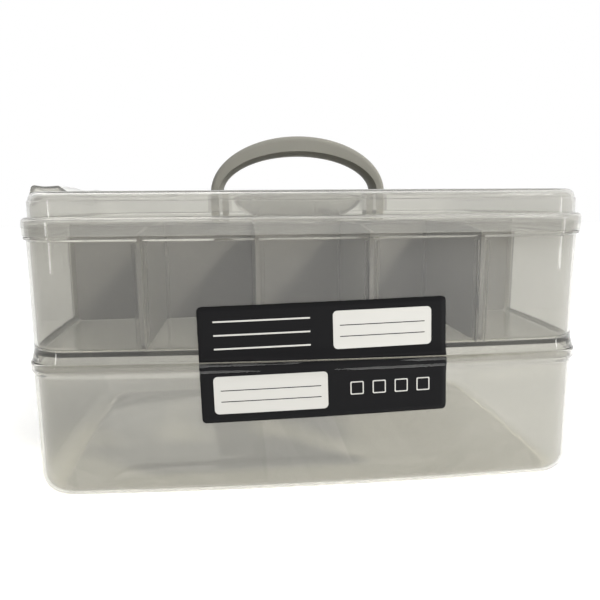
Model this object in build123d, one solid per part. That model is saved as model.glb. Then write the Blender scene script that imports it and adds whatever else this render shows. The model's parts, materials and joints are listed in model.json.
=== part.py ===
from build123d import *
from math import degrees
import os

# A clear stacking organizer case: a plain lower tray, an upper tray with lift-out dividers,
# a stepped lid and an arch handle. Millimetres, +Z up, origin under the middle of the case,
# front towards -Y. An inset is how far a face lies inside the lid's bead, the widest line.

# Case outline, across the lid's bead; a bow is how far a side swells out between its corners
CASE_LENGTH = 257.0
CASE_WIDTH = 179.0
CORNER_RADIUS = 20.0
LONG_BOW = 3.2
END_BOW = 1.5

# Mouldings
WALL = 1.5
FLOOR = 1.5
LID_WALL = 1.3
EDGE = 0.4

# Lower tray
LOWER_WALL_HEIGHT = 56.8
LOWER_TAPER = 0.5
BOTTOM_RADIUS = 9.0
LEDGE = 1.5
RIM_HEIGHT = 3.5
RIM_WALL = 1.3
RIM_INSET = 0.1
RIM_STEP = 1.1
RIM_RADIUS = 1.0

# Upper tray
FOOT_WALL = 1.2
FLARE = 1.1
FLARE_RISE = 5.0
UPPER_TAPER = 0.3
UPPER_FLOOR_LIFT = 3.0
UPPER_DEPTH = 50.0
UPPER_FLOOR_RADIUS = 3.0
FLANGE_INSET = 0.4
FLANGE = 1.2
FLANGE_COVE = 0.8
UPSTAND = 4.5

# Divider guides and dividers
DIVIDER = 1.6
DIVIDER_PITCH = 49.8
DIVIDER_ROW = 4
DIVIDER_HEIGHT = 53.0
DIVIDER_CORNER = 5.0
SLOPE_RUN = 26.0
SLOPE_DROP = 2.4
GUIDE_RIB = 1.5
GUIDE_LEAN = 0.5
GUIDE_DEPTH = 3.0
GUIDE_DROP = 3.1
CENTRE_GUIDE_DEPTH = 2.2

# Lid
LID_BEAD = 8.0
BEAD_RADIUS = 2.4
BAND_INSET = 2.9
LID_BAND = 6.7
CROWN_STEP = 0.6
LID_CROWN = 4.0
CROWN_RISER = 0.3
LID_RIB = 1.2
LID_RIB_DEPTH = 2.0

# Finger bowl under the handle
BOWL_LENGTH = 70.0
BOWL_WIDTH = 62.0
BOWL_DEPTH = 13.0

# Thumb hold at the lid's left end: two horns with a scoop between them
THUMB_INSET = 1.6
THUMB_BASE = 120.0
THUMB_WAIST = 109.0
THUMB_TOP = 104.0
THUMB_RISE = 3.7
THUMB_LIP = 2.0
THUMB_DEPTH = 17.2
THUMB_SHOULDER = 12.2
THUMB_DIP = 1.0
THUMB_SCOOP = 60.0
THUMB_SCOOP_DEPTH = 2.4
THUMB_RADIUS = 1.5
THUMB_COVE = 5.0
THUMB_SWEEP = 20.0

# Handle
HANDLE_SPAN = 95.0
HANDLE_RISE = 30.0
HANDLE_WIDTH = 20.0
HANDLE_GRIP = 8.0
HANDLE_LEG = 4.4
HANDLE_CROWN = 2.2
HANDLE_RADIUS = 2.6
TOE_REACH = 9.4
TOE_HEIGHT = 1.6
TOE_EDGE = 0.8
PRONG_WIDTH = 12.0
OUTER_PRONG = 4.0
OUTER_PRONG_LENGTH = 14.4
INNER_PRONG = 3.4
INNER_PRONG_LENGTH = 13.4
PRONG_TIP = 1.2
SOCKET_DEPTH = 9.0
SOCKET_WALL = 1.4

# Clearances
NEST_CLEARANCE = 0.3
SEAT_CLEARANCE = 0.25
SLIDE_CLEARANCE = 0.3
END_CLEARANCE = 0.4
STANDING_CLEARANCE = 0.15
PRONG_CLEARANCE = 0.2

# Radii of the bowed sides, from their bow over the length between the corners
LONG_RADIUS = (CASE_LENGTH / 2 - CORNER_RADIUS) ** 2 / (2 * LONG_BOW)
END_RADIUS = (CASE_WIDTH / 2 - CORNER_RADIUS) ** 2 / (2 * END_BOW)

# Insets that follow from the nesting of one moulding in the next
LOWER_INSET = RIM_INSET + RIM_STEP
FOOT_INSET = RIM_INSET + RIM_WALL + NEST_CLEARANCE
UPSTAND_INSET = LID_WALL + NEST_CLEARANCE
UPPER_INSET = UPSTAND_INSET + UPPER_TAPER

# Levels, stacked up from the table
LEDGE_TOP = LOWER_WALL_HEIGHT + LEDGE
RIM_TOP = LEDGE_TOP + RIM_HEIGHT
FOOT_BOTTOM = LEDGE_TOP + SEAT_CLEARANCE
SHOULDER_LEVEL = RIM_TOP + SEAT_CLEARANCE
UPPER_FLOOR_BOTTOM = SHOULDER_LEVEL + UPPER_FLOOR_LIFT
UPPER_FLOOR_TOP = UPPER_FLOOR_BOTTOM + FLOOR
FLANGE_TOP = UPPER_FLOOR_TOP + UPPER_DEPTH
GUIDE_TOP = FLANGE_TOP - GUIDE_DROP
DIVIDER_BOTTOM = UPPER_FLOOR_TOP + STANDING_CLEARANCE
DIVIDER_TOP = DIVIDER_BOTTOM + DIVIDER_HEIGHT
SKIRT_BOTTOM = FLANGE_TOP + SEAT_CLEARANCE
BEAD_TOP = SKIRT_BOTTOM + LID_BEAD
BAND_TOP = BEAD_TOP + LID_BAND
LID_TOP = BAND_TOP + LID_CROWN
HANDLE_BASE = LID_TOP + STANDING_CLEARANCE

# Inside of the upper tray at floor level, and the cross dividers' places and reach
INNER_HALF_LENGTH = CASE_LENGTH / 2 - UPPER_INSET - WALL
INNER_HALF_WIDTH = CASE_WIDTH / 2 - UPPER_INSET - WALL
GUIDE_SLOT = DIVIDER + 2 * SLIDE_CLEARANCE
DIVIDER_PLACES = [DIVIDER_PITCH * (i - (DIVIDER_ROW - 1) / 2) for i in range(DIVIDER_ROW)]
WALL_AT_PLACES = [INNER_HALF_WIDTH - x**2 / (2 * LONG_RADIUS) for x in DIVIDER_PLACES]
NEAREST_WALL = min(WALL_AT_PLACES)


def rounded_face(corners):
    """Closed outline of (x, y, corner radius) points."""
    points = [(x, y) for x, y, radius in corners]
    radii = [radius for x, y, radius in corners]
    return make_face(FilletPolyline(*points, radius=radii, close=True))


def case_plan(inset):
    """The case seen from above at an inset: four bowed sides and four rounded corners."""
    front = Pos(0, LONG_RADIUS - CASE_WIDTH / 2) * Circle(LONG_RADIUS - inset)
    left = Pos(END_RADIUS - CASE_LENGTH / 2, 0) * Circle(END_RADIUS - inset)
    turned = Rot(0, 0, 180)
    plan = front & (turned * front) & left & (turned * left)
    return fillet(plan.vertices(), CORNER_RADIUS - inset)


def wall_ring(corners):
    """Wall of one (inset, z, radius) section, turned along the bowed sides and round the corners."""
    pieces = []
    for arc in case_plan(0).edges():
        centre = arc.arc_center
        ends = [arc @ 0 - centre, arc @ 1 - centre]
        start = ends[0] if ends[0].cross(ends[1]).Z > 0 else ends[1]
        plane = Plane(centre, x_dir=start, z_dir=start.cross(Vector(0, 0, 1)))
        section = plane * rounded_face([(arc.radius - inset, z, radius) for inset, z, radius in corners])
        pieces.append(revolve(section, Axis(centre, (0, 0, 1)), degrees(arc.length / arc.radius)))
    return Part() + pieces


def floor_plate(inset, low, high):
    """Flat plate with the case's outline at the given inset."""
    return extrude(Pos(0, 0, low) * case_plan(inset), high - low)


def lower_tray():
    """Plain deep tray with a rounded bottom and a stepped rim round the upper tray's foot."""
    foot = LOWER_INSET + LOWER_TAPER
    plate = foot + BOTTOM_RADIUS + EDGE
    section = [
        (plate, 0, 0),
        (foot, 0, BOTTOM_RADIUS),
        (LOWER_INSET, LOWER_WALL_HEIGHT - RIM_RADIUS, RIM_RADIUS),
        (RIM_INSET, LOWER_WALL_HEIGHT + RIM_RADIUS, RIM_RADIUS),
        (RIM_INSET, RIM_TOP, RIM_RADIUS),
        (RIM_INSET + RIM_WALL, RIM_TOP, 0),
        (RIM_INSET + RIM_WALL, LEDGE_TOP, 0),
        (LOWER_INSET + WALL, LEDGE_TOP, EDGE),
        (foot + WALL, FLOOR, BOTTOM_RADIUS - WALL),
        (plate, FLOOR, 0),
    ]
    return wall_ring(section) + floor_plate(plate - EDGE / 2, 0, FLOOR)


def guide_pair(wall_at, tip_at):
    """Two ribs on a wall towards -Y that hold a divider's end, leaning apart so that it drops in easily."""
    low = UPPER_FLOOR_TOP - FLOOR / 2
    ribs = []
    for side in (-1, 1):
        near = side * GUIDE_SLOT / 2
        far = near + side * GUIDE_RIB
        near_top = near + side * GUIDE_LEAN
        far_top = far + side * GUIDE_LEAN
        outline = Polyline(
            (near, low),
            (far, low),
            (far_top, GUIDE_TOP - EDGE),
            (far_top - side * EDGE, GUIDE_TOP),
            (near_top + side * EDGE, GUIDE_TOP),
            (near_top, GUIDE_TOP - EDGE),
            close=True,
        )
        ribs.append(extrude(Plane.XZ.offset(tip_at) * make_face(outline), wall_at + WALL / 2 - tip_at))
    return ribs


def upper_tray():
    """Divided tray: hollow foot, flared shoulder, floor, flange, upstand and divider guides."""
    plate = UPPER_INSET + WALL + UPPER_FLOOR_RADIUS + EDGE
    section = [
        (plate, UPPER_FLOOR_BOTTOM, 0),
        (FOOT_INSET + FOOT_WALL, UPPER_FLOOR_BOTTOM, 0),
        (FOOT_INSET + FOOT_WALL, FOOT_BOTTOM, 0),
        (FOOT_INSET, FOOT_BOTTOM, EDGE),
        (FOOT_INSET, SHOULDER_LEVEL, 0),
        (FOOT_INSET - FLARE, SHOULDER_LEVEL, EDGE),
        (UPPER_INSET, SHOULDER_LEVEL + FLARE_RISE, FLARE_RISE),
        (UPSTAND_INSET, FLANGE_TOP - FLANGE - FLANGE_COVE, EDGE),
        (FLANGE_INSET, FLANGE_TOP - FLANGE, EDGE),
        (FLANGE_INSET, FLANGE_TOP, EDGE),
        (UPSTAND_INSET, FLANGE_TOP, 0),
        (UPSTAND_INSET, FLANGE_TOP + UPSTAND, EDGE),
        (UPSTAND_INSET + WALL, FLANGE_TOP + UPSTAND, EDGE),
        (UPPER_INSET + WALL, UPPER_FLOOR_TOP, UPPER_FLOOR_RADIUS),
        (plate, UPPER_FLOOR_TOP, 0),
    ]
    tray = wall_ring(section) + floor_plate(plate - EDGE / 2, UPPER_FLOOR_BOTTOM, UPPER_FLOOR_TOP)
    ribs = []
    for facing in (0, 180):
        for x, wall_at in zip(DIVIDER_PLACES, WALL_AT_PLACES):
            pair = guide_pair(wall_at, NEAREST_WALL - GUIDE_DEPTH)
            ribs += [Rot(0, 0, facing) * Pos(x, 0, 0) * rib for rib in pair]
        end_pair = guide_pair(INNER_HALF_LENGTH, INNER_HALF_LENGTH - GUIDE_DEPTH)
        ribs += [Rot(0, 0, facing + 90) * rib for rib in end_pair]
    return tray + ribs


def centre_divider():
    """Long plate between the end walls, with a pair of ribs on both faces for each cross divider."""
    half = INNER_HALF_LENGTH - END_CLEARANCE
    outline = [
        (-half, DIVIDER_BOTTOM, DIVIDER_CORNER),
        (half, DIVIDER_BOTTOM, DIVIDER_CORNER),
        (half, DIVIDER_TOP, EDGE),
        (-half, DIVIDER_TOP, EDGE),
    ]
    plate = extrude(Plane.XZ * rounded_face(outline), DIVIDER / 2, both=True)
    rib_height = GUIDE_TOP - DIVIDER_BOTTOM
    rib_width = DIVIDER + 2 * CENTRE_GUIDE_DEPTH
    rib = Box(GUIDE_RIB, rib_width, rib_height, align=(Align.CENTER, Align.CENTER, Align.MIN))
    ribs = []
    for x in DIVIDER_PLACES:
        for side in (-1, 1):
            ribs.append(Pos(x + side * (GUIDE_SLOT + GUIDE_RIB) / 2, 0, DIVIDER_BOTTOM) * rib)
    return plate + ribs


def cross_divider():
    """Short plate from the front wall to the centre divider, its outer top corner sloped down."""
    outer = END_CLEARANCE - NEAREST_WALL
    inner = -DIVIDER / 2 - SLIDE_CLEARANCE
    outline = [
        (outer, DIVIDER_BOTTOM, DIVIDER_CORNER),
        (inner, DIVIDER_BOTTOM, EDGE),
        (inner, DIVIDER_TOP, EDGE),
        (outer + SLOPE_RUN, DIVIDER_TOP, SLOPE_DROP),
        (outer, DIVIDER_TOP - SLOPE_DROP, EDGE),
    ]
    return extrude(Plane.YZ * rounded_face(outline), DIVIDER / 2, both=True)


def bowl_form(grow):
    """Body of the finger bowl, grown by the wall for the moulding's underside."""
    # share of the mouth's half sizes kept at each share of the depth
    steps = [(1.0, 0.0), (0.94, 0.4), (0.8, 0.74), (0.6, 0.93), (0.4, 1.0)]
    sections = []
    for share, depth in steps:
        outline = Ellipse(BOWL_LENGTH / 2 * share + grow, BOWL_WIDTH / 2 * share + grow)
        sections.append(Pos(0, 0, LID_TOP - BOWL_DEPTH * depth - grow) * outline)
    return loft(sections)


def thumb_form(shrink):
    """Hump of the thumb hold where its view from the lid's end meets its view from the front."""
    low = BAND_TOP - THUMB_LIP + shrink
    top = LID_TOP + THUMB_RISE - shrink
    base, waist, crest = (width / 2 - shrink for width in (THUMB_BASE, THUMB_WAIST, THUMB_TOP))
    half_view = [
        (base, low, 0),
        (base, BAND_TOP, 0),
        (waist, LID_TOP, THUMB_COVE),
        (crest, top, THUMB_RADIUS),
        (THUMB_SCOOP / 2, top, THUMB_SWEEP),
        (THUMB_SCOOP / 4, top - THUMB_SCOOP_DEPTH, THUMB_SWEEP),
    ]
    end_view = half_view + [(-y, z, radius) for y, z, radius in reversed(half_view)]
    face = THUMB_INSET + shrink
    foot = THUMB_INSET + THUMB_DEPTH - shrink
    front_view = [
        (face, low, 0),
        (face, top, THUMB_RADIUS),
        (THUMB_INSET + THUMB_SHOULDER / 2, top - THUMB_DIP, THUMB_SWEEP),
        (THUMB_INSET + THUMB_SHOULDER - shrink / 2, top - THUMB_DIP / 2, THUMB_RADIUS),
        (foot, LID_TOP - shrink, 0),
        (foot, low, 0),
    ]
    lid_end = Plane.XZ * Pos(-CASE_LENGTH / 2, 0)
    along = extrude(lid_end * rounded_face(front_view), THUMB_BASE / 2, both=True)
    across = extrude(Plane.YZ * rounded_face(end_view), -CASE_LENGTH / 2)
    return along & across


def prong_places():
    """Left and right edges of the outer and inner prong of the right foot, with their lengths."""
    outer = HANDLE_SPAN / 2
    inner = outer - TOE_REACH
    return [
        (outer - OUTER_PRONG, outer, OUTER_PRONG_LENGTH),
        (inner, inner + INNER_PRONG, INNER_PRONG_LENGTH),
    ]


def foot_socket():
    """Block under the lid that takes the right foot's prongs, and the two slots through it."""
    low = HANDLE_SPAN / 2 - TOE_REACH - PRONG_CLEARANCE - SOCKET_WALL
    high = HANDLE_SPAN / 2 + PRONG_CLEARANCE + SOCKET_WALL
    width = PRONG_WIDTH + 2 * (PRONG_CLEARANCE + SOCKET_WALL)
    block = Pos((low + high) / 2, 0, LID_TOP - LID_WALL / 2) * Box(
        high - low, width, SOCKET_DEPTH, align=(Align.CENTER, Align.CENTER, Align.MAX)
    )
    slots = []
    for left, right, length in prong_places():
        slot = Box(right - left + 2 * PRONG_CLEARANCE, PRONG_WIDTH + 2 * PRONG_CLEARANCE, 4 * length)
        slots.append(Pos((left + right) / 2, 0, LID_TOP) * slot)
    return block, slots


def lid():
    """Stepped lid: skirt and bead, band, rounded crown, finger bowl, thumb hold and handle sockets."""
    crown = BAND_INSET + CROWN_STEP
    plate = crown + LID_CROWN + EDGE
    section = [
        (LID_WALL, SKIRT_BOTTOM, 0),
        (0, SKIRT_BOTTOM, EDGE),
        (0, BEAD_TOP, BEAD_RADIUS),
        (BAND_INSET, BEAD_TOP, 0),
        (BAND_INSET, BAND_TOP, EDGE),
        (crown, BAND_TOP, 0),
        (crown, LID_TOP, LID_CROWN - CROWN_RISER),
        (plate, LID_TOP, 0),
        (plate, LID_TOP - LID_WALL, 0),
        (crown + LID_WALL, LID_TOP - LID_WALL, LID_CROWN - LID_WALL),
        (crown + LID_WALL, BAND_TOP - LID_WALL, 0),
        (BAND_INSET + LID_WALL, BAND_TOP - LID_WALL, 0),
        (BAND_INSET + LID_WALL, BEAD_TOP - LID_WALL, 0),
        (LID_WALL, BEAD_TOP - LID_WALL, BEAD_RADIUS - LID_WALL),
    ]
    shell = wall_ring(section) + floor_plate(plate - EDGE / 2, LID_TOP - LID_WALL, LID_TOP)
    room_under_lid = floor_plate(BAND_INSET + LID_WALL, BEAD_TOP, LID_TOP - LID_WALL)
    shell = shell + (thumb_form(0) - room_under_lid) - thumb_form(LID_WALL)
    rib_face = CASE_WIDTH / 2 - BAND_INSET - LID_WALL / 2
    rib = Box(LID_RIB, LID_RIB_DEPTH, LID_BAND, align=(Align.CENTER, Align.MIN, Align.MIN))
    shell += [Rot(0, 0, facing) * Pos(0, -rib_face, BEAD_TOP - LID_WALL) * rib for facing in (0, 180)]
    block, slots = foot_socket()
    shell += [block, Rot(0, 0, 180) * block, bowl_form(LID_WALL)]
    shell -= [bowl_form(0)]
    shell -= [Rot(0, 0, facing) * slot for facing in (0, 180) for slot in slots]
    return shell


def handle():
    """Arch of crescent outline with a crowned underside, toes and push-in prongs at both feet."""
    half = HANDLE_SPAN / 2
    upper_half = Pos(0, HANDLE_RISE / 2) * Rectangle(HANDLE_SPAN, HANDLE_RISE)
    arch = extrude(Plane.XZ * (Ellipse(half, HANDLE_RISE) & upper_half), HANDLE_WIDTH / 2, both=True)
    arch = fillet(arch.edges().filter_by(GeomType.ELLIPSE), HANDLE_RADIUS)
    hand_room = []
    for y, crown in ((-HANDLE_WIDTH / 2, 0), (0, HANDLE_CROWN), (HANDLE_WIDTH / 2, 0)):
        opening = Ellipse(half - HANDLE_LEG - crown, HANDLE_RISE - HANDLE_GRIP - crown)
        hand_room.append(Plane.XZ.offset(-y) * opening)
    arch -= loft(hand_room)
    toe = [
        (half - TOE_REACH, 0, 0),
        (half - EDGE, 0, 0),
        (half - EDGE, TOE_HEIGHT, 0),
        (half - HANDLE_LEG, TOE_HEIGHT, TOE_EDGE),
        (half - TOE_REACH, TOE_EDGE, 0),
    ]
    toe_block = extrude(Plane.XZ * rounded_face(toe), HANDLE_WIDTH / 2 - HANDLE_RADIUS, both=True)
    feet = [toe_block]
    for left, right, length in prong_places():
        prong = [
            (left, TOE_EDGE, 0),
            (left, -length, PRONG_TIP),
            (right, -length, PRONG_TIP),
            (right, TOE_EDGE, 0),
        ]
        feet.append(extrude(Plane.XZ * rounded_face(prong), PRONG_WIDTH / 2, both=True))
    arch += [Rot(0, 0, facing) * piece for facing in (0, 180) for piece in feet]
    return Pos(0, 0, HANDLE_BASE) * arch


def save(name, shape):
    export_step(shape, f"parts/{name}.step")
    print(f"{name}: {len(shape.solids())} solid, {shape.volume / 1000:.2f} cm3")


os.makedirs("parts", exist_ok=True)
save("lower_tray", lower_tray())
save("upper_tray", upper_tray())
save("lid", lid())
save("handle", handle())
save("centre_divider", centre_divider())
front_divider = cross_divider()
for number, place in enumerate(DIVIDER_PLACES, start=1):
    save(f"cross_divider_front_{number}", Pos(place, 0, 0) * front_divider)
    save(f"cross_divider_back_{number}", Pos(place, 0, 0) * Rot(0, 0, 180) * front_divider)
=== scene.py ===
# %% [markdown]
# # A clear organizer case
# The case is four kinds of moulding: two clear trays, a clear lid, grey dividers and a grey handle.
# Their shapes come ready from the solid model. This lesson gives them their plastics, adds the paper
# label on the front, and sets up the camera and the studio. Everything is in metres, +Z up.

# %% Load the solid model
import json
import math

import bmesh
import bpy
from mathutils import Matrix, Vector
from mathutils.bvhtree import BVHTree


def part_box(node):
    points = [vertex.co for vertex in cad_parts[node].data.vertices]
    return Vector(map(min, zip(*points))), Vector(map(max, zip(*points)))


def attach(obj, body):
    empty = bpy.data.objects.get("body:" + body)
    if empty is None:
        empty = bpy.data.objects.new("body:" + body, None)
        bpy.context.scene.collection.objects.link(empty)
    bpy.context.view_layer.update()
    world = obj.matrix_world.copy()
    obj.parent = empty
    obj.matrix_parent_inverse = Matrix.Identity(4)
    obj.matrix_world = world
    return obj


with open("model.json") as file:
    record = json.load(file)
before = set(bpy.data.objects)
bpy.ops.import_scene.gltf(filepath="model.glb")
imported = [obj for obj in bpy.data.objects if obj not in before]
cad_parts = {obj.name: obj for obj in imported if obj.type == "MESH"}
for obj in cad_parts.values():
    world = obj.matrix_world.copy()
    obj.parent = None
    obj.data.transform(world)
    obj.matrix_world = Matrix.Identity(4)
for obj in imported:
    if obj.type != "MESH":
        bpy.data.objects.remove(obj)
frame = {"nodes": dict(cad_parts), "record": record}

MM = 0.001
scene = bpy.context.scene
nodes = frame["nodes"]
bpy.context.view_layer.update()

# %% [markdown]
# ## Camera
# The photograph was taken from the front, a little to the left of the middle and level with the lid,
# close enough for strong perspective. A camera could be placed by eye, but edges whose places on the
# object are known fix it much better. The eye, the turn and the focal length below come from such a fit.

# %% Photo camera
PHOTO_PIXELS = 600
FOCAL_PIXELS = 622.07
SENSOR = 36.0
NEAREST_SEEN = 10 * MM
EYE = Vector((-31.33, -351.58, 129.0)) * MM
YAW, PITCH, ROLL = (math.radians(angle) for angle in (5.262, 8.688, -0.484))

camera_data = bpy.data.cameras.new("photo_camera")
camera_data.sensor_width = SENSOR
camera_data.lens = SENSOR * FOCAL_PIXELS / PHOTO_PIXELS
camera_data.clip_start = NEAREST_SEEN
camera = bpy.data.objects.new("photo_camera", camera_data)
level_aim = Vector((math.sin(YAW), math.cos(YAW), 0)) * math.cos(PITCH)
aim = level_aim - Vector((0, 0, math.sin(PITCH)))
turn = aim.to_track_quat("-Z", "Y").to_matrix().to_4x4()
camera.matrix_world = Matrix.Translation(EYE) @ turn @ Matrix.Rotation(ROLL, 4, "Z")
scene.collection.objects.link(camera)
scene.camera = camera
print("camera lens", round(camera_data.lens, 2), "mm")

# %% [markdown]
# ## Node helpers
# Every surface here, and the surround, is a small graph of nodes. Each could be wired by hand, but short
# helpers say the same in a line. The last one tells rays that look at something from rays that only
# bring light to a matt surface.

# %% Node helpers
HALF_A_BOUNCE = 0.5


def add_node(tree, kind, values=None, **settings):
    """A shader node with its settings and the values of its unlinked sockets."""
    node = tree.nodes.new(kind)
    for name, value in settings.items():
        setattr(node, name, value)
    for socket, value in (values or {}).items():
        node.inputs[socket].default_value = value
    return node


def math_node(tree, operation, first, second=0.0):
    """A Math node fed by sockets or plain numbers; returns its value socket."""
    node = add_node(tree, "ShaderNodeMath", operation=operation)
    for socket, value in zip(node.inputs, (first, second)):
        if isinstance(value, (int, float)):
            socket.default_value = value
        else:
            tree.links.new(value, socket)
    return node.outputs[0]


def seen_by_eye(tree):
    """One for rays that look straight on, by reflection or through plastic, and met no matt surface before."""
    path = add_node(tree, "ShaderNodeLightPath")
    seen = math_node(tree, "MAXIMUM", path.outputs["Is Camera Ray"], path.outputs["Is Glossy Ray"])
    seen = math_node(tree, "MAXIMUM", seen, path.outputs["Is Transmission Ray"])
    not_lit = math_node(tree, "LESS_THAN", path.outputs["Diffuse Depth"], HALF_A_BOUNCE)
    return math_node(tree, "MULTIPLY", seen, not_lit)


print("node helpers ready")

# %% [markdown]
# ## Surround
# Product shots are often taken in a tent of white paper, and an even white world does the same. It is white
# only for rays that look at it. As a light it is dimmer, so that the key lamp's shadows show inside the
# case. A look through the case crosses many clear faces, so rays may bounce more often than usual:
# with fewer bounces the edges of the walls come out darker.

# %% World
WHITE = (1, 1, 1, 1)
WORLD_LIGHT = 0.42
CLEAR_WALL_BOUNCES = 32

world = bpy.data.worlds.new("white_surround")
world.use_nodes = True
scene.world = world
tree = world.node_tree
background = tree.nodes["Background"]
background.inputs["Color"].default_value = WHITE
lit = math_node(tree, "MULTIPLY", seen_by_eye(tree), 1 - WORLD_LIGHT)
tree.links.new(math_node(tree, "ADD", lit, WORLD_LIGHT), background.inputs["Strength"])
scene.view_settings.view_transform = "Standard"
scene.cycles.max_bounces = CLEAR_WALL_BOUNCES
scene.cycles.transmission_bounces = CLEAR_WALL_BOUNCES
print("world light", WORLD_LIGHT)

# %% [markdown]
# ## Floor
# The case stands on pale paper. A sheet that curves up behind would hide the horizon on a real table. Here
# the paper glows a little, and more with distance, so that it fades into the white surround and still
# takes the shadow round the case.

# %% Floor
FLOOR_RADIUS = 4.0
FLOOR_SEGMENTS = 96
FLOOR_TINT = (0.86, 0.86, 0.86, 1)
FLOOR_ROUGHNESS = 0.9
NEAR_GLOW, FAR_GLOW = 0.48, 0.75
NEAR_EDGE, FAR_EDGE = 0.3, 1.5

mesh = bpy.data.meshes.new("studio_floor")
bm = bmesh.new()
bmesh.ops.create_circle(bm, cap_ends=True, segments=FLOOR_SEGMENTS, radius=FLOOR_RADIUS)
bm.to_mesh(mesh)
bm.free()
floor = bpy.data.objects.new("studio_floor", mesh)
scene.collection.objects.link(floor)

floor_paper = bpy.data.materials.new("floor_paper")
floor_paper.use_nodes = True
tree = floor_paper.node_tree
paper = tree.nodes["Principled BSDF"]
paper.inputs["Base Color"].default_value = FLOOR_TINT
paper.inputs["Roughness"].default_value = FLOOR_ROUGHNESS
paper.inputs["Emission Color"].default_value = WHITE
away = add_node(tree, "ShaderNodeVectorMath", operation="LENGTH")
tree.links.new(add_node(tree, "ShaderNodeTexCoord").outputs["Object"], away.inputs[0])
glow = add_node(tree, "ShaderNodeMapRange", {
    "From Min": NEAR_EDGE, "From Max": FAR_EDGE, "To Min": NEAR_GLOW, "To Max": FAR_GLOW})
tree.links.new(away.outputs["Value"], glow.inputs["Value"])
seen_glow = math_node(tree, "MULTIPLY", seen_by_eye(tree), glow.outputs[0])
tree.links.new(seen_glow, paper.inputs["Emission Strength"])
mesh.materials.append(floor_paper)
print("floor radius", FLOOR_RADIUS, "m")

# %% [markdown]
# ## Lamps
# A small key lamp from the upper right throws slanting shadows on the dividers, and weak wide lamps above and
# behind open up the dark sides. Mirrored in the lid they would be hard white patches, so reflections
# leave them out. The two low strips beside the camera stay in, to draw thin highlights on the corners.

# %% Soft lamps: place, width, height and watts
CASE_MIDDLE = Vector((0, 0, 75)) * MM
LAMPS = {
    "key_softbox": ((0.85, -0.9, 1.1), 0.2, 0.2, 24.0),
    "top_softbox": ((0.15, 0.35, 1.6), 1.3, 1.3, 3.0),
    "back_fill": ((-0.45, 1.2, 0.8), 0.8, 0.8, 2.5),
    "left_strip": ((-0.75, -0.75, 0.14), 0.06, 0.34, 0.45),
    "right_strip": ((0.85, -0.65, 0.14), 0.06, 0.34, 0.45),
}
MIRRORED_LAMPS = ("left_strip", "right_strip")

for name, (place, width, height, watts) in LAMPS.items():
    lamp = bpy.data.lights.new(name, "AREA")
    lamp.shape = "RECTANGLE"
    lamp.size = width
    lamp.size_y = height
    lamp.energy = watts
    softbox = bpy.data.objects.new(name, lamp)
    facing = (CASE_MIDDLE - Vector(place)).to_track_quat("-Z", "Y").to_matrix().to_4x4()
    softbox.matrix_world = Matrix.Translation(place) @ facing
    softbox.visible_glossy = name in MIRRORED_LAMPS
    scene.collection.objects.link(softbox)
print("lamps:", ", ".join(LAMPS))

# %% [markdown]
# ## Moulded surface
# Every piece here is injection moulded, so all finishes share the same small faults: slow waves in the
# gloss where the plastic flowed, a very fine grain and hairline scuffs from handling. One node group
# makes them once, and each plastic sets its own scale and strength.

# %% Moulded surface group
MOULDED_DEFAULTS = {"Flow Scale": 18.0, "Grain Scale": 900.0, "Scuff Scale": 60.0, "Gloss": 0.2, "Spread": 0.1}
FLOW_NOISE = {"Detail": 2.0, "Distortion": 0.4}
GRAIN_NOISE = {"Detail": 3.0}
SCUFF_NOISE = {"Detail": 5.0, "Roughness": 0.7}
SCUFF_STRETCH = {"Scale": (1.0, 9.0, 14.0), "Rotation": (0.3, 0.5, 0.2)}
SCUFF_BAND = {"From Min": 0.62, "From Max": 0.74}
SCUFF_DULLING = 0.6
SCUFF_DEPTH = 0.8
FLOW_RELIEF = 6.0


def group_socket(group, name, direction, kind="NodeSocketFloat", value=None):
    """A named socket of a node group."""
    socket = group.interface.new_socket(name=name, in_out=direction, socket_type=kind)
    if value is not None:
        socket.default_value = value


moulded = bpy.data.node_groups.new("moulded_surface", "ShaderNodeTree")
for name, value in MOULDED_DEFAULTS.items():
    group_socket(moulded, name, "INPUT", value=value)
for name in ("Roughness", "Height", "Flow"):
    group_socket(moulded, name, "OUTPUT")
given = add_node(moulded, "NodeGroupInput")
made = add_node(moulded, "NodeGroupOutput")
spot = add_node(moulded, "ShaderNodeTexCoord").outputs["Object"]

flow = add_node(moulded, "ShaderNodeTexNoise", FLOW_NOISE)
moulded.links.new(spot, flow.inputs["Vector"])
moulded.links.new(given.outputs["Flow Scale"], flow.inputs["Scale"])
grain = add_node(moulded, "ShaderNodeTexNoise", GRAIN_NOISE)
moulded.links.new(spot, grain.inputs["Vector"])
moulded.links.new(given.outputs["Grain Scale"], grain.inputs["Scale"])

stretch = add_node(moulded, "ShaderNodeMapping", SCUFF_STRETCH)
moulded.links.new(spot, stretch.inputs["Vector"])
scuff = add_node(moulded, "ShaderNodeTexNoise", SCUFF_NOISE)
moulded.links.new(stretch.outputs["Vector"], scuff.inputs["Vector"])
moulded.links.new(given.outputs["Scuff Scale"], scuff.inputs["Scale"])
scuffed = add_node(moulded, "ShaderNodeMapRange", SCUFF_BAND)
moulded.links.new(scuff.outputs[0], scuffed.inputs["Value"])

dulling = math_node(moulded, "MULTIPLY", scuffed.outputs[0], SCUFF_DULLING)
uneven = math_node(moulded, "ADD", flow.outputs[0], dulling)
dulled = math_node(moulded, "MULTIPLY", uneven, given.outputs["Spread"])
moulded.links.new(math_node(moulded, "ADD", dulled, given.outputs["Gloss"]), made.inputs["Roughness"])
waves = math_node(moulded, "MULTIPLY", flow.outputs[0], FLOW_RELIEF)
scratches = math_node(moulded, "MULTIPLY", scuffed.outputs[0], SCUFF_DEPTH)
texture = math_node(moulded, "SUBTRACT", grain.outputs[0], scratches)
moulded.links.new(math_node(moulded, "ADD", waves, texture), made.inputs["Height"])
moulded.links.new(flow.outputs[0], made.inputs["Flow"])
print("moulded surface group:", len(moulded.nodes), "nodes")

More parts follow.
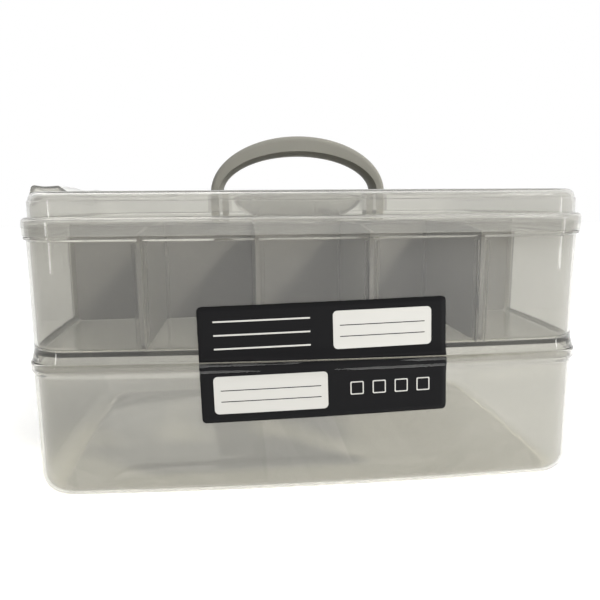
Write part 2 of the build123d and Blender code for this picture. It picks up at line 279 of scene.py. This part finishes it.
# %% [markdown]
# ## Plastic makers
# Clear polypropylene veils what lies behind it with a warm grey haze. A scattering volume would be true to
# that, and slow. Glass with a small diffuse share comes close through thin walls, though their edges glow
# less than real ones. It bends light less than the real plastic, because at the real value the lines of
# the joints come out darker, and a gloss coat adds back some of the shine that this takes away. For lamps
# the walls are plain tinted film, so that light reaches the inside.

# %% Plastic makers
RELIEF_DEPTH = 0.1 * MM
CLEAR_FILM = (0.88, 0.87, 0.83, 1)
CLEAR_IOR = 1.27
CLEAR_COAT = 0.5


def moulded_plastic(name, tint, cloud_tint, surface, bump):
    """A plastic on the moulded surface group: two tints that drift into each other, gloss and fine relief."""
    plastic = bpy.data.materials.new(name)
    plastic.use_nodes = True
    tree = plastic.node_tree
    shader = tree.nodes["Principled BSDF"]
    skin = add_node(tree, "ShaderNodeGroup", node_tree=moulded)
    for socket, value in surface.items():
        skin.inputs[socket].default_value = value
    drift = add_node(tree, "ShaderNodeMix", data_type="RGBA")
    drift.inputs["A"].default_value = (*tint, 1)
    drift.inputs["B"].default_value = (*cloud_tint, 1)
    tree.links.new(skin.outputs["Flow"], drift.inputs["Factor"])
    tree.links.new(drift.outputs["Result"], shader.inputs["Base Color"])
    tree.links.new(skin.outputs["Roughness"], shader.inputs["Roughness"])
    relief = add_node(tree, "ShaderNodeBump", {"Strength": bump, "Distance": RELIEF_DEPTH})
    tree.links.new(skin.outputs["Height"], relief.inputs["Height"])
    tree.links.new(relief.outputs["Normal"], shader.inputs["Normal"])
    return plastic, shader


def clear_plastic(name, tint, cloud_tint, surface, bump, milk):
    """Clear plastic: glass with a milky share and a gloss coat, and tinted film for the light of the lamps."""
    plastic, shader = moulded_plastic(name, tint, cloud_tint, surface, bump)
    shader.inputs["Transmission Weight"].default_value = 1 - milk
    shader.inputs["IOR"].default_value = CLEAR_IOR
    shader.inputs["Coat Weight"].default_value = CLEAR_COAT
    tree = plastic.node_tree
    path = add_node(tree, "ShaderNodeLightPath")
    lamp_film = add_node(tree, "ShaderNodeBsdfTransparent", {"Color": CLEAR_FILM})
    choice = add_node(tree, "ShaderNodeMixShader")
    tree.links.new(path.outputs["Is Shadow Ray"], choice.inputs["Fac"])
    tree.links.new(shader.outputs["BSDF"], choice.inputs[1])
    tree.links.new(lamp_film.outputs["BSDF"], choice.inputs[2])
    tree.links.new(choice.outputs["Shader"], tree.nodes["Material Output"].inputs["Surface"])
    return plastic


print("plastic makers ready")

# %% [markdown]
# ## The four plastics
# The trays are the clearest and the lid is a little milkier and paler. The dividers and the handle are opaque
# grey, the handle lighter and warmer. Each finish could be mixed by hand, but made by the same two makers
# they stay one family. The solid model says which piece takes which finish.

# %% The four plastics
CLEAR_SKIN = {"Flow Scale": 14.0, "Grain Scale": 1200.0, "Scuff Scale": 45.0, "Gloss": 0.015, "Spread": 0.03}
LID_SKIN = {**CLEAR_SKIN, "Gloss": 0.025}
GREY_SKIN = {"Flow Scale": 22.0, "Grain Scale": 1500.0, "Scuff Scale": 70.0, "Gloss": 0.38, "Spread": 0.14}
CLEAR_RELIEF, GREY_RELIEF = 0.015, 0.3
TRAY_MILK, LID_MILK = 0.05, 0.12
TINTS = {
    "clear_plastic": ((0.59, 0.583, 0.545), (0.64, 0.633, 0.597)),
    "clear_lid_plastic": ((0.68, 0.675, 0.64), (0.73, 0.725, 0.695)),
    "divider_grey": ((0.175, 0.17, 0.162), (0.2, 0.195, 0.187)),
    "handle_grey": ((0.215, 0.208, 0.176), (0.24, 0.233, 0.201)),
}

finishes = {}
for name, skin, milk in (("clear_plastic", CLEAR_SKIN, TRAY_MILK), ("clear_lid_plastic", LID_SKIN, LID_MILK)):
    finishes[name] = clear_plastic(name, *TINTS[name], skin, CLEAR_RELIEF, milk)
for name in ("divider_grey", "handle_grey"):
    finishes[name] = moulded_plastic(name, *TINTS[name], GREY_SKIN, GREY_RELIEF)[0]
for part in frame["record"]["subparts"]:
    nodes[part["node"]].material_slots[0].material = finishes[part["material_slot"]]
print("finishes:", ", ".join(finishes))

# %% [markdown]
# ## Label
# A paper label is stuck across the front, over both trays. It is a flat patch that clings to the bowed
# walls, and it parts at the joint so that the trays come apart. A strip of the solid wall could be copied, but
# a patch is easier to tilt: one face with its corners rounded by a bevel, cut into strips, and each
# point is then pressed back against the wall it faces.

# %% Label halves
LABEL_WIDTH = 109.3 * MM
LABEL_HEIGHT = 51.6 * MM
LABEL_CENTRE = Vector((3.7, 0, 61.8)) * MM
LABEL_TILT = math.radians(1.4)
LABEL_CORNER = 2.0 * MM
CORNER_SEGMENTS = 5
ROUND_PROFILE = 0.5
LABEL_PAPER = 0.15 * MM
LABEL_STRIP = 2.5 * MM
JOINT_GAP = 0.2 * MM
UPPER_EDGE_LIFT = 0.25 * MM
WELL_IN_FRONT = -0.3


def everything(bm):
    """All points, edges and faces of a mesh that is being made."""
    return bm.verts[:] + bm.edges[:] + bm.faces[:]


def label_patch():
    """Flat label with rounded corners, tilted and cut into strips, at y = 0."""
    bm = bmesh.new()
    bmesh.ops.create_grid(bm, x_segments=1, y_segments=1, size=0.5)
    bmesh.ops.scale(bm, vec=(LABEL_WIDTH, LABEL_HEIGHT, 1), verts=bm.verts)
    bmesh.ops.bevel(bm, geom=list(bm.verts), offset=LABEL_CORNER, offset_type="OFFSET", affect="VERTICES",
                    segments=CORNER_SEGMENTS, profile=ROUND_PROFILE, material=-1)
    for axis, length in ((0, LABEL_WIDTH), (1, LABEL_HEIGHT)):
        normal = Vector((1 - axis, axis, 0))
        count = round(length / LABEL_STRIP)
        for step in range(1, count):
            bmesh.ops.bisect_plane(bm, geom=everything(bm), plane_no=normal,
                                   plane_co=normal * length * (step / count - 0.5))
    upright = Matrix.Rotation(-LABEL_TILT, 4, "Y") @ Matrix.Rotation(math.pi / 2, 4, "X")
    bmesh.ops.transform(bm, matrix=Matrix.Translation(LABEL_CENTRE) @ upright, verts=bm.verts)
    return bm


def label_half(name, body, node, edge_z, keep_above):
    """The part of the label above or below the joint, pressed on a tray's front wall."""
    bm = label_patch()
    bmesh.ops.bisect_plane(bm, geom=everything(bm), plane_co=(0, 0, edge_z), plane_no=(0, 0, 1),
                           clear_inner=keep_above, clear_outer=not keep_above)
    wall = BVHTree.FromObject(nodes[node], bpy.context.evaluated_depsgraph_get())
    for vert in bm.verts:
        hit = wall.ray_cast(Vector((vert.co.x, WELL_IN_FRONT, vert.co.z)), Vector((0, 1, 0)))[0]
        vert.co.y = hit.y
    bmesh.ops.recalc_face_normals(bm, faces=bm.faces)
    front = bmesh.ops.extrude_face_region(bm, geom=bm.faces[:])["geom"]
    lifted = [item for item in front if isinstance(item, bmesh.types.BMVert)]
    bmesh.ops.translate(bm, vec=(0, -LABEL_PAPER, 0), verts=lifted)
    bmesh.ops.recalc_face_normals(bm, faces=bm.faces)
    mesh = bpy.data.meshes.new(name)
    bm.to_mesh(mesh)
    bm.free()
    mesh.shade_smooth()
    piece = bpy.data.objects.new(name, mesh)
    scene.collection.objects.link(piece)
    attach(piece, body)
    return piece


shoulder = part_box("lower_tray")[1].z
upper_edge = shoulder + JOINT_GAP + UPPER_EDGE_LIFT
label_top = label_half("label_upper_half", "middle", "upper_tray", upper_edge, True)
label_low = label_half("label_lower_half", "base", "lower_tray", shoulder - JOINT_GAP, False)
print("label halves:", len(label_top.data.polygons), "and", len(label_low.data.polygons), "faces")

# %% [markdown]
# ## Printed field
# The paper is printed black, with pale write-on fields and rules left open, all blank. A print could be
# cut as thin pieces, but it has no thickness of its own, so it belongs in the material. A node group draws
# one rounded field from its centre and size: a spot is inside when it lies within a corner's radius of
# the field's core.

# %% Printed field group
FIELD_DEFAULTS = {"Across": 0.0, "Up": 0.0, "Half Width": 0.01, "Half Height": 0.005, "Corner": 0.001}

field = bpy.data.node_groups.new("printed_field", "ShaderNodeTree")
group_socket(field, "Place", "INPUT", "NodeSocketVector")
for name, value in FIELD_DEFAULTS.items():
    group_socket(field, name, "INPUT", value=value)
group_socket(field, "Mask", "OUTPUT")
given = add_node(field, "NodeGroupInput")
made = add_node(field, "NodeGroupOutput")
split = add_node(field, "ShaderNodeSeparateXYZ")
field.links.new(given.outputs["Place"], split.inputs[0])
beyond = []
for axis, centre, half in (("X", "Across", "Half Width"), ("Z", "Up", "Half Height")):
    offset = math_node(field, "SUBTRACT", split.outputs[axis], given.outputs[centre])
    core = math_node(field, "SUBTRACT", given.outputs[half], given.outputs["Corner"])
    past = math_node(field, "SUBTRACT", math_node(field, "ABSOLUTE", offset), core)
    beyond.append(math_node(field, "POWER", math_node(field, "MAXIMUM", past, 0.0), 2.0))
reach = math_node(field, "SQRT", math_node(field, "ADD", *beyond))
inside = math_node(field, "LESS_THAN", reach, given.outputs["Corner"])
field.links.new(inside, made.inputs["Mask"])
print("printed field group:", len(field.nodes), "nodes")

# %% [markdown]
# ## Label print
# The label has two write-on panels with rules, three open rules and a row of check squares. A picture could
# be laid over the paper, but drawn fields stay sharp at any distance. The group is placed once for
# every field, pale ones first, and dark rules and square middles are taken out of them.

# %% Label print: across, up, half width, half height and corner, in millimetres from the label's middle
CHECK_PLACES = (14, 24, 34, 44)
LOW_ROW = -13.5
PALE_FIELDS = [(26, 13, 22, 8.5, 2), (-24, LOW_ROW, 25, 8.5, 2)]
PALE_FIELDS += [(-27, up, 21, 0.35, 0.2) for up in (19, 13, 7)]
PALE_FIELDS += [(across, LOW_ROW, 3, 3, 0.6) for across in CHECK_PLACES]
DARK_FIELDS = [(26, up, 19, 0.2, 0.1) for up in (15, 10)]
DARK_FIELDS += [(-24, up, 22, 0.2, 0.1) for up in (-11.5, -16.5)]
DARK_FIELDS += [(across, LOW_ROW, 2.5, 2.5, 0.4) for across in CHECK_PLACES]
INK, INK_CLOUD = (0.005, 0.005, 0.0055), (0.007, 0.007, 0.0075)
BARE_PAPER = (0.62, 0.61, 0.57, 1)
PAPER_SKIN = {"Flow Scale": 30.0, "Grain Scale": 2500.0, "Scuff Scale": 90.0, "Gloss": 0.3, "Spread": 0.12}
PAPER_RELIEF = 0.2
PAPER_SHEEN = 0.1

label_paper, shader = moulded_plastic("label_paper", INK, INK_CLOUD, PAPER_SKIN, PAPER_RELIEF)
shader.inputs["Specular IOR Level"].default_value = PAPER_SHEEN
tree = label_paper.node_tree
ground = shader.inputs["Base Color"].links[0].from_socket
straight = add_node(tree, "ShaderNodeMapping", vector_type="TEXTURE")
straight.inputs["Location"].default_value = LABEL_CENTRE
straight.inputs["Rotation"].default_value = (0, -LABEL_TILT, 0)
tree.links.new(add_node(tree, "ShaderNodeTexCoord").outputs["Object"], straight.inputs["Vector"])


def printed(fields):
    """Mask of several printed fields."""
    mask = 0.0
    for values in fields:
        drawn = add_node(tree, "ShaderNodeGroup", node_tree=field)
        tree.links.new(straight.outputs["Vector"], drawn.inputs["Place"])
        for socket, value in zip(FIELD_DEFAULTS, values):
            drawn.inputs[socket].default_value = value * MM
        mask = math_node(tree, "MAXIMUM", mask, drawn.outputs["Mask"])
    return mask


open_paper = math_node(tree, "SUBTRACT", printed(PALE_FIELDS), printed(DARK_FIELDS))
ink = add_node(tree, "ShaderNodeMix", data_type="RGBA")
ink.inputs["B"].default_value = BARE_PAPER
tree.links.new(open_paper, ink.inputs["Factor"])
tree.links.new(ground, ink.inputs["A"])
tree.links.new(ink.outputs["Result"], shader.inputs["Base Color"])
for half in (label_top, label_low):
    half.data.materials.append(label_paper)
print("label print:", len(PALE_FIELDS) + len(DARK_FIELDS), "fields")
